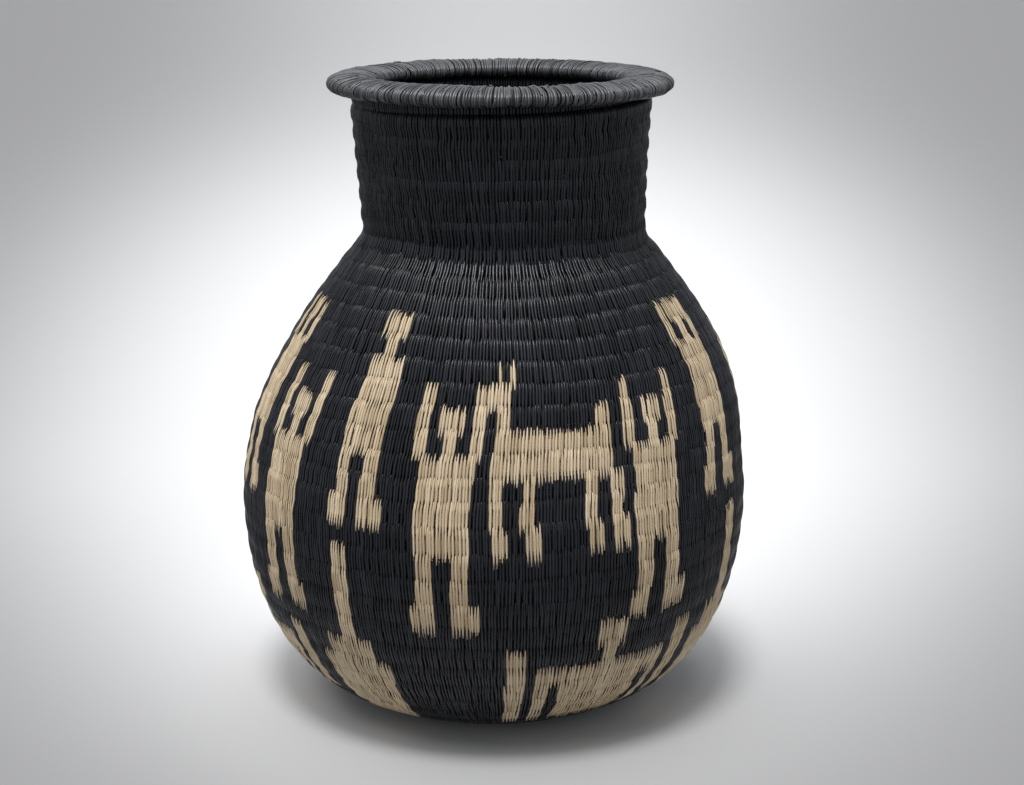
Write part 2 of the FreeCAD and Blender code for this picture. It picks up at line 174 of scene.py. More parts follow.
def new_piece(name, points, faces, node, material, tones=None, uvs=None):
    """A mesh object that stands for CAD nodes and rides on the root body.  Its faces are a list
    of corner lists or, where all have four corners, an array; uvs has a row for each corner."""
    mesh = bpy.data.meshes.new(name)
    count = len(faces)
    if isinstance(faces, list):
        sizes = [len(face) for face in faces]
        corners = np.concatenate([np.asarray(face) for face in faces])
        starts = np.concatenate([[0], np.cumsum(sizes)[:-1]])
    else:
        corners = faces.reshape(-1)
        starts = np.arange(count) * 4
    mesh.vertices.add(len(points))
    mesh.vertices.foreach_set("co", np.asarray(points, np.float32).reshape(-1))
    mesh.loops.add(len(corners))
    mesh.loops.foreach_set("vertex_index", corners.astype(np.int32))
    mesh.polygons.add(count)
    mesh.polygons.foreach_set("loop_start", starts.astype(np.int32))
    mesh.polygons.foreach_set("use_smooth", np.ones(count, bool))
    if uvs is not None:
        layer = mesh.uv_layers.new(name="OFBake")
        layer.data.foreach_set("uv", np.asarray(uvs, np.float32).reshape(-1))
    if tones is not None:
        attribute = mesh.attributes.new("tone", "FLOAT", "POINT")
        attribute.data.foreach_set("value", np.asarray(tones, np.float32))
    mesh.update(calc_edges=True)
    mesh.validate()
    mesh.materials.append(material)
    piece = bpy.data.objects.new(name, mesh)
    bpy.context.scene.collection.objects.link(piece)
    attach(piece, "root")
    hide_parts(*node)
    return piece


# how much of its cell a band fills on the UV sheet, along and across it
CELL_ALONG = 0.94
CELL_ACROSS = 0.8
CELL_SHAPE = 3.0         # rows of cells for each column


def band_faces(bands, steps):
    """Quads of closed four-sided bands, steps rings long, and their places on a tidy UV sheet."""
    ring = np.arange(4)
    along = np.arange(steps - 1)
    first = (along[:, None] * 4 + ring).reshape(-1)
    second = (along[:, None] * 4 + (ring + 1) % 4).reshape(-1)
    sides = np.stack([first, second, second + 4, first + 4], axis=-1)
    last = (steps - 1) * 4
    caps = np.array([[3, 2, 1, 0], [last, last + 1, last + 2, last + 3]])
    one = np.concatenate([sides, caps])
    faces = (one[None] + (np.arange(bands) * steps * 4)[:, None, None]).reshape(-1, 4)

    u0 = (along[:, None] / (steps - 1) * np.ones(4)).reshape(-1)
    u1 = ((along[:, None] + 1) / (steps - 1) * np.ones(4)).reshape(-1)
    v0 = (np.ones(steps - 1)[:, None] * ring / 4).reshape(-1)
    v1 = v0 + 0.25
    sheet = np.stack([
        np.stack([u0, v0], -1), np.stack([u0, v1], -1),
        np.stack([u1, v1], -1), np.stack([u1, v0], -1),
    ], axis=1)
    cap_sheet = np.zeros((2, 4, 2)) + np.array([[0.0, 0.0], [0.01, 0.0], [0.01, 0.01], [0.0, 0.01]])
    sheet = np.concatenate([sheet, cap_sheet])
    columns = max(1, round(math.sqrt(bands / CELL_SHAPE)))
    rows = math.ceil(bands / columns)
    cell = np.stack([np.arange(bands) % columns, np.arange(bands) // columns], axis=-1)
    scale = np.array([CELL_ALONG / columns, CELL_ACROSS / rows])
    corner = cell / np.array([columns, rows])
    uvs = corner[:, None, None, :] + sheet[None] * scale
    return faces, uvs.reshape(-1, 2)


CLOSEST = 0.6            # a band's sweep round the axis is no wider than at this radius


def band_points(centres, headings, widths, thickness, roll):
    """Corners of bands laid along centre lines given in the plane through the axis.

    centres is (bands, steps, 2) of radius and height, headings (bands, steps) in radians.  roll
    says how far each band's crest lies to one side, as a share of its half width.
    """
    along = np.gradient(centres, axis=1)
    along /= np.linalg.norm(along, axis=-1, keepdims=True) + 1e-9
    out = np.stack([along[..., 1], -along[..., 0]], axis=-1)
    reach = centres[..., 0] + 1e-6
    half = widths / 2 / np.maximum(reach, CLOSEST)
    top = centres + out * thickness[..., None] / 2
    bottom = centres - out * thickness[..., None] / 2
    left = polar(centres[..., 0], headings - half, centres[..., 1])
    right = polar(centres[..., 0], headings + half, centres[..., 1])
    crest = polar(top[..., 0], headings + half * roll[:, None], top[..., 1])
    under = polar(bottom[..., 0], headings, bottom[..., 1])
    return np.stack([left, crest, right, under], axis=2)


# ---------------------------------------------------------------- materials

STREAK_STRETCH = (30.0, 700.0, 1.0)  # how often the streaks repeat along and across the UV sheet
STREAK_SCALE = 3.0
PATCH_SCALE = 60.0
PATCH_SHARE = 0.3        # how much the patches change a strip's shade
SMOOTHER, ROUGHER = 0.08, 0.10  # how far the roughness runs to either side
GRAIN_STRENGTH = 0.25
GRAIN_HEIGHT = 0.00008   # metres


def node_set(material):
    material.use_nodes = True
    nodes = material.node_tree.nodes
    nodes.clear()
    output = nodes.new("ShaderNodeOutputMaterial")
    shader = nodes.new("ShaderNodeBsdfPrincipled")
    material.node_tree.links.new(shader.outputs[0], output.inputs[0])
    return nodes, material.node_tree.links, shader


def fibre_material(name, dark, light, roughness, grain=0.35, gloss=0.5):
    """Split palm fibre: every strip has its own shade, with fine streaks along it."""
    material = bpy.data.materials.new(name)
    nodes, links, shader = node_set(material)
    shader.inputs["Specular IOR Level"].default_value = gloss
    place = nodes.new("ShaderNodeTexCoord")
    strip = nodes.new("ShaderNodeAttribute")
    strip.attribute_name = "tone"
    sheet = nodes.new("ShaderNodeUVMap")
    sheet.uv_map = "OFBake"
    stretch = nodes.new("ShaderNodeMapping")
    stretch.inputs["Scale"].default_value = STREAK_STRETCH
    links.new(sheet.outputs[0], stretch.inputs[0])
    streaks = nodes.new("ShaderNodeTexNoise")
    streaks.inputs["Scale"].default_value = STREAK_SCALE
    streaks.inputs["Detail"].default_value = 3.0
    links.new(stretch.outputs[0], streaks.inputs["Vector"])
    patches = nodes.new("ShaderNodeTexNoise")
    patches.inputs["Scale"].default_value = PATCH_SCALE
    patches.inputs["Detail"].default_value = 2.0
    links.new(place.outputs["Object"], patches.inputs["Vector"])

    strip_shade = nodes.new("ShaderNodeMath")
    strip_shade.operation = "MULTIPLY_ADD"
    strip_shade.inputs[1].default_value = grain
    links.new(streaks.outputs[0], strip_shade.inputs[0])
    links.new(strip.outputs["Fac"], strip_shade.inputs[2])
    patch_shade = nodes.new("ShaderNodeMath")
    patch_shade.operation = "MULTIPLY_ADD"
    patch_shade.inputs[1].default_value = PATCH_SHARE
    patch_shade.inputs[2].default_value = -PATCH_SHARE / 2 - grain / 2
    links.new(patches.outputs[0], patch_shade.inputs[0])
    total = nodes.new("ShaderNodeMath")
    total.operation = "ADD"
    total.use_clamp = True
    links.new(strip_shade.outputs[0], total.inputs[0])
    links.new(patch_shade.outputs[0], total.inputs[1])
    ramp = nodes.new("ShaderNodeValToRGB")
    ramp.color_ramp.elements[0].color = (*dark, 1.0)
    ramp.color_ramp.elements[1].color = (*light, 1.0)
    links.new(total.outputs[0], ramp.inputs[0])
    links.new(ramp.outputs[0], shader.inputs["Base Color"])

    rough = nodes.new("ShaderNodeMapRange")
    rough.inputs["To Min"].default_value = roughness - SMOOTHER
    rough.inputs["To Max"].default_value = roughness + ROUGHER
    links.new(streaks.outputs[0], rough.inputs["Value"])
    links.new(rough.outputs[0], shader.inputs["Roughness"])
    bump = nodes.new("ShaderNodeBump")
    bump.inputs["Strength"].default_value = GRAIN_STRENGTH
    bump.inputs["Distance"].default_value = GRAIN_HEIGHT
    links.new(streaks.outputs[0], bump.inputs["Height"])
    links.new(bump.outputs[0], shader.inputs["Normal"])
    return material


BLACK = fibre_material(
    "dyed_black_strip", (0.004, 0.005, 0.007), (0.018, 0.019, 0.025), 0.30, gloss=0.36)
# a lighter black for the lip: partly real wear, partly painted light for the lip's top, which faces
# the overhead light
WORN_AND_PAINTED_LIGHT_BLACK = fibre_material(
    "worn_and_painted_light_black_strip", (0.018, 0.019, 0.022), (0.100, 0.101, 0.110), 0.34, gloss=0.5)
NATURAL = fibre_material("natural_cream_strip", (0.39, 0.29, 0.175), (0.65, 0.53, 0.37), 0.5)
# the foundation fibre is near black, far darker than raw palm fibre: painted shade for the gaps
# between stitches
PAINTED_SHADE_CORE = fibre_material(
    "foundation_fibre", (0.006, 0.005, 0.004), (0.030, 0.024, 0.016), 0.7, grain=0.8, gloss=0.2)

# ---------------------------------------------------------------- the figures
# A figure is a list of blocks: first row, last row, left edge, right edge.  Rows are counted
# down from the figure's top row; edges are in steps to the right of the figure's middle.

STEP = 0.75              # degrees


def person(arm_rows=3, head_row=1, arms=True, half_head=4, half_body=8):
    """A standing figure: head, neck, four rows of body, legs and turned-out feet."""
    body_row = head_row + 2
    leg_row = body_row + 4
    foot_row = leg_row + 2
    blocks = [
        (head_row, head_row, -half_head, half_head),
        (head_row + 1, head_row + 1, -2, 2),
        (body_row, leg_row - 1, -half_body, half_body),
        (leg_row, foot_row - 1, -half_body + 1, -2),
        (leg_row, foot_row - 1, half_body - 5, half_body),
        (foot_row, foot_row, -half_body - 1, -2),
        (foot_row, foot_row, half_body - 5, half_body + 3),
    ]
    if arms:
        blocks.append((body_row - arm_rows, body_row - 1, -half_body - 3, -half_body + 1))
        blocks.append((body_row - arm_rows, body_row - 1, half_body - 2, half_body + 2))
    return blocks


def animal(length=36):
    """A four-legged figure that looks left, ears and tail up."""
    blocks = [
        (0, 0, 0, 1),
        (0, 0, 3, 5),
        (1, 1, -2, 4),
        (2, 2, 0, 4),
        (2, 2, length - 5, length),
        (3, 4, 0, length),
    ]
    for left in (0, 9, length - 9, length - 1):
        blocks.append((5, 6, left, left + 4))
        blocks.append((7, 7, left + 1, left + 6))
    return blocks


def heavy_animal():
    """A broad low figure between two uprights: small head, deep body, a leg at each end."""
    return [
        (0, 0, -5, 5),
        (1, 1, -2, 3),
        (2, 2, -23, 22),
        (3, 5, -14, 15),
        (3, 5, -23, -18),
        (3, 5, 19, 22),
        (1, 5, -32, -26),
        (1, 4, 25, 31),
    ]


def tall_neck():
    """A figure with a long upright neck over sloping shoulders and a broad body."""
    return [(0, 3, -3, 3), (4, 4, -8, 8), (5, 9, -13, 13)]


# name, blocks, top row counted down from the foot of the neck, middle in degrees to the right
# of the front
FIGURES = [
    ("natural_person_1", person(), 7, -10.5),
    ("natural_person_2", person(), 7, 37.0),
    ("natural_person_3", person(arm_rows=2, head_row=0, half_head=6), 4, 59.5),
    ("natural_person_4", person(arms=False, head_row=0, half_head=6, half_body=7), 4, -31.0),
    ("natural_person_5", person(), 7, -53.0),
    ("natural_person_6", person(arm_rows=2, head_row=0), 4, -73.0),
    ("natural_person_7", person(), 7, 132.0),
    ("natural_person_8", person(arm_rows=2, head_row=0), 4, -128.0),
    ("natural_animal_1", animal(), 6, -1.0),
    ("natural_animal_2", animal(), 6, 83.0),
    ("natural_animal_3", heavy_animal(), 17, 27.0),
    ("natural_animal_4", heavy_animal(), 17, -72.0),
    ("natural_tall_neck_1", tall_neck(), 14, -33.5),
    ("natural_tall_neck_2", tall_neck(), 14, 64.0),
]
WALL_FOOT = BASE_TURNS
WALL_TOP = BASE_TURNS + sum(arc[2] for arc in WALL_ARCS)


def figure_runs(turn_number):
    """Runs of natural stitches on one turn: (figure's number, left edge, right edge)."""
    row = WALL_TOP - turn_number
    runs = []
    for index, (name, blocks, top_row, middle) in enumerate(FIGURES):
        for first_row, last_row, left, right in blocks:
            if top_row + first_row <= row <= top_row + last_row:
                runs.append((index, middle + left * STEP, middle + right * STEP))
    return runs


# ---------------------------------------------------------------- the stitches

STITCH_PITCH = 0.97
STITCH_THICKNESS = 0.38
# Where a stitch lies, as it goes from the outer face of the row below up over its own coil and
# down the inner face: on the row below, on the seam between the two or on its own coil; its
# angle up from level; its distance from that coil's middle as a share of the coil's radius
# (for the seam, its distance out); and its width as a share of the full width.
BELOW, SEAM, OWN = 0, 1, 2
STITCH_LINE = (
    (BELOW, -17, 0.66, 0.22), (BELOW, -5, 0.975, 0.38), (BELOW, 18, 1.02, 0.64),
    (BELOW, 42, 1.245, 0.86), (SEAM, 0, 0.93, 1.08), (OWN, -38, 1.19, 1.18),
    (OWN, -18, 1.02, 1.12), (OWN, 5, 0.975, 0.95), (OWN, 30, 1.06, 0.72),
    (OWN, 45, 1.17, 0.50), (OWN, 58, 1.18, 0.30), (OWN, 95, 1.0, 0.7),
    (OWN, 135, 1.0, 0.9), (OWN, 180, 1.0, 1.0), (OWN, 218, 1.0, 1.0),
    (BELOW, 135, 1.0, 0.9), (BELOW, 172, 0.75, 0.6),
)
STEPS = len(STITCH_LINE)
END_POINTS = (0, 1)      # those at the stitch's lower end, which reaches down by chance
SEAM_POINTS = (3, 4, 5)  # those of the points above that lie nearest the seam
NECK_GROOVE = 0.09       # how much deeper they lie on the neck, as a share of the coil's radius
KNOT_REACH = 0.12        # how far out the knot lies that the first turn is sewn over, as a share
KNOT_SIZE = 0.8          # and how thick it is, as a share of the coil's radius
# how far the lower end of a stitch lies behind its upper end, in stitch pitches, by turn
LEAN_TURNS = (0, 8, 16, 30, 37)
STITCH_LEAN = (0.5, 0.55, 0.35, 0.1, 0.25)
FIRST_STITCH = 0.05      # turns
LAST_STITCH = 0.995      # turns past the end of the neck
FEWEST_IN_A_TURN = 10
BLACK_WIDTHS = (0.91, 1.0)  # of a pitch, on the wall and on the neck
NATURAL_WIDTH = 0.95
TWIST_ABOUT = 0.45       # the share of its length about which a leaning stitch is turned
# how uneven the sewing is, as spreads from stitch to stitch
REACH_SPREAD = 0.20      # radians round the row below
REACH_MOST = 0.35
PLACE_SPREAD = 0.11      # pitches
LEAN_SPREAD = 0.20       # pitches
SIZE_SPREAD = 0.09       # of the width
LAYER_SPREAD = 0.1       # of the thickness
ROLL_MOST = 0.5          # how far a stitch's crest lies to a side, as a share of its half width
SHADE_SPREAD = 0.2
# and how much neighbours drift together, over groups of about this many stitches
DRIFT_GROUP = 9
PLACE_DRIFT, LEAN_DRIFT, SHADE_DRIFT = 0.10, 0.20, 0.08


def stitch_lines(turns, reach_jitter):
    """Centre lines of stitches at given places on the coil, in the plane through the axis."""
    middle = spine(turns)
    below = spine(np.maximum(turns - 1.0, 0.0))
    first = turns < 1.0
    below[first] = middle[first] * np.array([KNOT_REACH, 1.0])
    up = middle - below
    gap = np.linalg.norm(up, axis=-1, keepdims=True)
    up = up / gap
    out = np.stack([up[:, 1], -up[:, 0]], axis=-1)
    radius = half_thickness(turns)[:, None]
    radius_below = half_thickness(np.maximum(turns - 1, 0))[:, None]
    radius_below = np.where(first[:, None], radius * KNOT_SIZE, radius_below)
    lines = np.zeros((len(turns), STEPS, 2))
    groove = NECK_GROOVE * np.clip(turns - WALL_TOP, 0, 1)[:, None]
    for k, (where, angle, share, width) in enumerate(STITCH_LINE):
        if where == SEAM:
            seam = below + up * radius_below
            lines[:, k] = seam + out * ((share - groove) * 0.5 * (radius + radius_below))
            continue
        centre, size = (below, radius_below) if where == BELOW else (middle, radius)
        turned = math.radians(angle)
        if k in END_POINTS:
            turned = turned + reach_jitter[:, None]
        direction = out * np.cos(turned) + up * np.sin(turned)
        deeper = groove if k in SEAM_POINTS else 0.0
        lines[:, k] = centre + direction * size * (share - deeper)
    return lines


def stitch_places():
    """Places of all the stitches along the coil, in turns; a half stitch extra a turn sets each
    row's stitches between those of the row below."""
    places = []
    at = FIRST_STITCH
    while at < TURNS + LAST_STITCH:
        radius = spine(min(at, TURNS))[0]
        a_turn = max(FEWEST_IN_A_TURN, round(2 * math.pi * radius / STITCH_PITCH)) + 0.5
        places.append(at)
        at += 1.0 / a_turn
    return np.array(places)


def sew():
    """All the stitches, black or natural, sorted into one piece for each turn and figure."""
    places = stitch_places()
    turn_numbers = np.minimum(places.astype(int), TURNS)
    figure_of = np.full(len(places), -1)
    azimuth = (places - np.floor(places)) * 360.0 - 180.0
    for number in range(WALL_FOOT, WALL_TOP):
        here = turn_numbers == number
        for index, left, right in figure_runs(number):
            offset = (azimuth - left + 180.0) % 360.0 - 180.0
            figure_of[here & (offset >= 0) & (offset <= right - left)] = index

    count = len(places)
    radius = spine(np.minimum(places, TURNS))[:, 0]
    pitch = np.minimum(STITCH_PITCH, 2 * math.pi * radius / (FEWEST_IN_A_TURN + 0.5))
    reach_jitter = np.clip(chance.normal(0, REACH_SPREAD, count), -REACH_MOST, REACH_MOST)
    lines = stitch_lines(places, reach_jitter)
    groups = np.arange(0, count + DRIFT_GROUP, DRIFT_GROUP)
    drift = np.interp(np.arange(count), groups, chance.normal(0, 1, count // DRIFT_GROUP + 2))
    slide = (chance.normal(0, PLACE_SPREAD, count) + PLACE_DRIFT * drift) * pitch
    lean = np.interp(places, LEAN_TURNS, STITCH_LEAN)
    lean = lean + chance.normal(0, LEAN_SPREAD, count) + LEAN_DRIFT * drift
    share = np.linspace(0, 1, STEPS)
    twist = lean[:, None] * pitch[:, None] * (share - TWIST_ABOUT)
    headings = 2 * math.pi * (places % 1.0)[:, None] + (slide[:, None] - twist) / radius[:, None]
    natural = figure_of >= 0
    black_width = np.interp(places, (WALL_TOP - 1, WALL_TOP), BLACK_WIDTHS)
    broad = np.where(natural, NATURAL_WIDTH, black_width)
    broad = broad * (1 + chance.normal(0, SIZE_SPREAD, count))
    taper = np.array([point[-1] for point in STITCH_LINE])
    uncovered = (places >= TURNS)[:, None]
    widths = (broad * pitch)[:, None] * np.where(uncovered, np.maximum(taper, 1.0), taper)
    layer = STITCH_THICKNESS * (1 + chance.normal(0, LAYER_SPREAD, count))
    thick = np.repeat(layer[:, None], STEPS, axis=1)
    roll = chance.uniform(-ROLL_MOST, ROLL_MOST, count)
    corners = band_points(lines, headings, widths, thick, roll)
    shade = np.clip(chance.normal(0.5, SHADE_SPREAD, count) + SHADE_DRIFT * drift, 0, 1)

    def piece(name, chosen, node, slot, material):
        where = np.nonzero(chosen)[0]
        points = handmade(corners[where].reshape(-1, 3))
        faces, uvs = band_faces(len(where), STEPS)
        tones = np.repeat(shade[where], STEPS * 4)
        return new_piece(name, points, faces, [node], material, tones, uvs)

    number = 0
    for zone, turns in ZONES:
        for k in range(1, turns + 1):
            node = "%s_turn_%d" % (zone, k)
            chosen = (turn_numbers == number) & ~natural
            piece("black_stitches_" + node, chosen, node, "black_strip", BLACK)
            number += 1
    piece("black_stitches_tail", turn_numbers == TURNS, "coil_tail", "black_strip", BLACK)
    for index, (name, blocks, top_row, middle) in enumerate(FIGURES):
        piece(name + "_stitches", figure_of == index, name, "natural_strip", NATURAL)


sew()

# ---------------------------------------------------------------- the foundation bundles

AROUND = 14
SEGMENTS_PER_TURN = 120
FLUTES = 5               # the fibres' ridges round a bundle
FLUTE_DEPTH = 0.06       # as a share of its radius
FLUTE_TWIST = 7.0        # segments in which they turn by a radian
BUNDLE_START = 0.06      # turns
BUNDLE_END = 0.985       # turns past the end of the neck
BUNDLE_INSET = 0.42      # how much thinner than the coil
THINNEST_BUNDLE = 0.35
BUNDLE_GAP = 0.001       # turns between one zone's bundle and the next
FIBRE_SHADES = (0.2, 0.8)
ROW_FILL = 0.95          # how much of its row on the UV sheet a tube fills


def tube(lines, headings, radii):
    """A fluted tube along centres in the plane through the axis, closed at both ends."""
    count = len(lines)
    ring = np.arange(AROUND) / AROUND * 2 * math.pi
    turned = np.linspace(0, count / FLUTE_TWIST, count)[:, None]
    flute = 1 + FLUTE_DEPTH * np.sin(ring * FLUTES + turned)
    reach = radii[:, None] * flute
    radius = lines[:, :1] + reach * np.cos(ring)
    height = lines[:, 1:] + reach * np.sin(ring)
    heads = np.repeat(headings[:, None], AROUND, axis=1)
    return polar(radius, heads, height).reshape(-1, 3)


def tube_faces(count, closed=False):
    faces = []
    rings = count if closed else count - 1
    for i in range(rings):
        base, top = i * AROUND, ((i + 1) % count) * AROUND
        for j in range(AROUND):
            k = (j + 1) % AROUND
            faces.append((base + j, top + j, top + k, base + k))
    if not closed:
        faces.append(tuple(range(AROUND)))
        faces.append(tuple(range((count - 1) * AROUND, count * AROUND))[::-1])
    return faces


def tube_sheet(count, closed=False):
    """The tube's faces on a UV sheet, folded into rows."""
    rings = count if closed else count - 1
    per_row = SEGMENTS_PER_TURN
    rows = math.ceil(rings / per_row)
    uvs = []
    for i in range(rings):
        u0, u1 = (i % per_row) / per_row, (i % per_row + 1) / per_row
        row = i // per_row
        for j in range(AROUND):
            v0 = (row + ROW_FILL * j / AROUND) / rows
            v1 = (row + ROW_FILL * (j + 1) / AROUND) / rows
            uvs += [(u0, v0), (u1, v0), (u1, v1), (u0, v1)]
    if not closed:
        uvs += [(0.0, 0.0)] * (2 * AROUND)
    return uvs


def foundation():
    """The bundle that the stitches wrap, one length for each zone of the vase."""
    start = 0
    for zone, turns in ZONES:
        end = start + turns + (BUNDLE_END if zone == "neck" else 0.0)
        first = BUNDLE_START if zone == "base" else start + BUNDLE_GAP
        count = round((end - first) * SEGMENTS_PER_TURN) + 1
        at = np.linspace(first, end, count)
        radii = np.maximum(half_thickness(at) - BUNDLE_INSET, THINNEST_BUNDLE)
        points = handmade(tube(spine(at), 2 * math.pi * at, radii))
        node = zone + "_bundle"
        tones = chance.uniform(*FIBRE_SHADES, len(points))
        new_piece("fibres_" + node, points, tube_faces(count), [node], PAINTED_SHADE_CORE,
                  tones, tube_sheet(count))
        start += turns


foundation()

# radius and height of the knot's rings, from below
KNOT_RINGS = ((0.05, 0.7), (1.0, 0.75), (1.6, 1.3), (1.75, 2.6), (1.6, 4.0), (1.0, 4.6), (0.05, 4.7))
KNOT_AROUND = 24
KNOT_LOBES = 6
KNOT_LOBE_DEPTH = 0.06   # as a share of its radius
KNOT_SHADE = 0.4


def start_knot():
    """The little knot in the middle of the base."""
    around = KNOT_AROUND
    points, faces = [], []
    for radius, height in KNOT_RINGS:
        for j in range(around):
            angle = 2 * math.pi * j / around
            wavy = radius * (1 + KNOT_LOBE_DEPTH * math.cos(KNOT_LOBES * angle))
            points.append((wavy * math.cos(angle), wavy * math.sin(angle), height))
    for i in range(len(KNOT_RINGS) - 1):
        lower, upper = i * around, (i + 1) * around
        for j in range(around):
            k = (j + 1) % around
            faces.append((lower + j, lower + k, upper + k, upper + j))
    faces.append(tuple(range(around))[::-1])
    faces.append(tuple(range((len(KNOT_RINGS) - 1) * around, len(KNOT_RINGS) * around)))
    points = handmade(np.array(points))
    tones = np.full(len(points), KNOT_SHADE)
    new_piece("knot", points, faces, ["start_knot"], BLACK, tones)


start_knot()

# ---------------------------------------------------------------- the rim

RIM_PITCH = 0.76
RIM_STEPS = 22
RIM_LAYER = 0.5          # thickness of a strip
RIM_START = -115         # where a strip starts, in degrees round the lip's section from outside
RIM_SQUARE = (0.85, 0.9)  # how square the section is across and upward; 1 is an ellipse
RIM_FLATTER = 0.88       # the sewn lip is a little flatter than the CAD's
RIM_SEAT = MOUTH_LEVEL + RIM_HALF_HEIGHT * RIM_FLATTER - 0.75  # height of its middle
RIM_DROOP = 0.05         # how much lower its edges lie, as a share of the distance out
RIM_LOOP = 0.985         # how much of the way round the lip a strip runs
RIM_TAPER = ((0, 0.08, 0.9, 1), (0.8, 1.0, 1.0, 0.8))  # widths along a strip
RIM_SPREAD = 0.16        # how uneven its width and its place are, as a share of the pitch
RIM_ROLL = 0.6
RIM_GROUPS = 40          # groups of neighbours that drift together
RIM_SHADES = (0.6, 0.3)  # middle and spread
RIM_LOOSE = 130          # looser strips over the others
RIM_ENDS = 34            # short ends of spliced strips
RIM_SIDE = 4.6           # distance of the side bundles from the middle one
RIM_BUNDLE = 2.2         # radius of the middle bundle; the side ones are thinner


def rim_outline(share, grow=0.0):
    """The lip's section: a flattened roll, its widest line a little below the middle."""
    angle = math.radians(RIM_START) + 2 * math.pi * share
    across = np.cos(angle)
    upward = np.sin(angle)
    half_width = RIM_HALF_WIDTH - RIM_LAYER / 2 + grow
    half_height = RIM_HALF_HEIGHT * RIM_FLATTER - RIM_LAYER / 2 + grow
    wide = half_width * np.sign(across) * np.abs(across) ** RIM_SQUARE[0]
    high = half_height * np.sign(upward) * np.abs(upward) ** RIM_SQUARE[1]
    return RIM_MIDDLE + wide, RIM_SEAT + high - RIM_DROOP * np.abs(wide)


def rim_bands(starts, share, lump, slant):
    """Corners of strips round the lip: where each starts, how much of the loop it runs, how far
    it stands out and how far it slants along the lip, in strip pitches."""
    count = len(starts)
    radius, height = rim_outline(share, lump[:, None])
    lines = np.stack([radius, height], axis=-1)
    headings = starts[:, None] + slant[:, None] * RIM_PITCH * (share - 0.5) / RIM_MIDDLE
    along = np.linspace(0, 1, RIM_STEPS)
    taper = np.interp(along, *RIM_TAPER)
    outer_share = lines[..., 0] / RIM_MIDDLE
    widths = RIM_PITCH * taper * outer_share * (1 + chance.normal(0, RIM_SPREAD, count))[:, None]
    layer = RIM_LAYER * (1 + chance.normal(0, LAYER_SPREAD, count))
    thick = np.repeat(layer[:, None], RIM_STEPS, axis=1)
    return band_points(lines, headings, widths, thick, chance.uniform(-RIM_ROLL, RIM_ROLL, count))


def rim_binding():
    """Strips side by side round the lip, each a closed loop that slants on to the next, with
    looser ones over them and the short ends of spliced strips."""
    count = round(2 * math.pi * (RIM_MIDDLE + RIM_HALF_WIDTH / 2) / RIM_PITCH)
    numbers = np.arange(count)
    groups = np.linspace(0, count, RIM_GROUPS)
    drift = np.interp(numbers, groups, chance.normal(0, 1, RIM_GROUPS))
    starts = 2 * math.pi * (numbers + chance.normal(0, RIM_SPREAD, count)) / count
    along = np.linspace(0, 1, RIM_STEPS)
    loop = np.tile(np.linspace(0.0, RIM_LOOP, RIM_STEPS), (count, 1))
    lump = chance.normal(0, 0.12, count) + 0.16 * drift
    slant = 1.2 + 0.9 * drift + chance.normal(0, 0.5, count)
    layers = [rim_bands(starts, loop, lump, slant)]

    loose = RIM_LOOSE
    starts = chance.uniform(0, 2 * math.pi, loose)
    begin = chance.uniform(0.05, 0.45, loose)
    part = begin[:, None] + along * chance.uniform(0.25, 0.5, loose)[:, None]
    lump = chance.uniform(0.10, 0.30, loose)
    slant = chance.normal(2.0, 3.0, loose)
    layers.append(rim_bands(starts, part, lump, slant))

    ends = RIM_ENDS
    starts = chance.uniform(0, 2 * math.pi, ends)
    begin = chance.uniform(0.46, 0.62, ends)
    part = begin[:, None] + along * chance.uniform(0.03, 0.07, ends)[:, None]
    lump = chance.uniform(0.25, 0.5, ends)
    slant = chance.normal(0.0, 25.0, ends)
    layers.append(rim_bands(starts, part, lump, slant))

    points = handmade(np.concatenate(layers).reshape(-1, 3))
    total = count + loose + ends
    faces, uvs = band_faces(total, RIM_STEPS)
    shade = np.clip(chance.normal(*RIM_SHADES, total), 0, 1.2)
    tones = np.repeat(shade, RIM_STEPS * 4)
    new_piece("rim_strips", points, faces, ["rim_binding"], WORN_AND_PAINTED_LIGHT_BLACK, tones, uvs)


def rim_bundles():
    """The three bundles inside the lip."""
    points, faces, uvs = [], [], []
    count = 2 * SEGMENTS_PER_TURN
    headings = np.linspace(0, 2 * math.pi, count, endpoint=False)
    for side in (-1, 0, 1):
        radius = RIM_MIDDLE + side * RIM_SIDE
        height = RIM_SEAT - 0.4 * abs(side)
        line = np.stack([np.full(count, radius), np.full(count, height)], axis=-1)
        ring = tube(line, headings, np.full(count, RIM_BUNDLE - 0.3 * abs(side)))
        offset = sum(len(p) for p in points)
        points.append(ring)
        for face in tube_faces(count, closed=True):
            faces.append(tuple(corner + offset for corner in face))
        uvs += [((u + side + 1) / 3.0, v) for u, v in tube_sheet(count, closed=True)]
    points = handmade(np.concatenate(points))
    tones = chance.uniform(*FIBRE_SHADES, len(points))
    new_piece("rim_fibres", points, faces, ["rim_bundles"], PAINTED_SHADE_CORE, tones, uvs)


rim_binding()
rim_bundles()

# ---------------------------------------------------------------- floor, light and camera

EYE = Vector((0.0048, -0.600, 0.262))  # metres
TILT = math.radians(14.65)             # how far the camera looks down
LENS = 63.28
SENSOR = 36.0
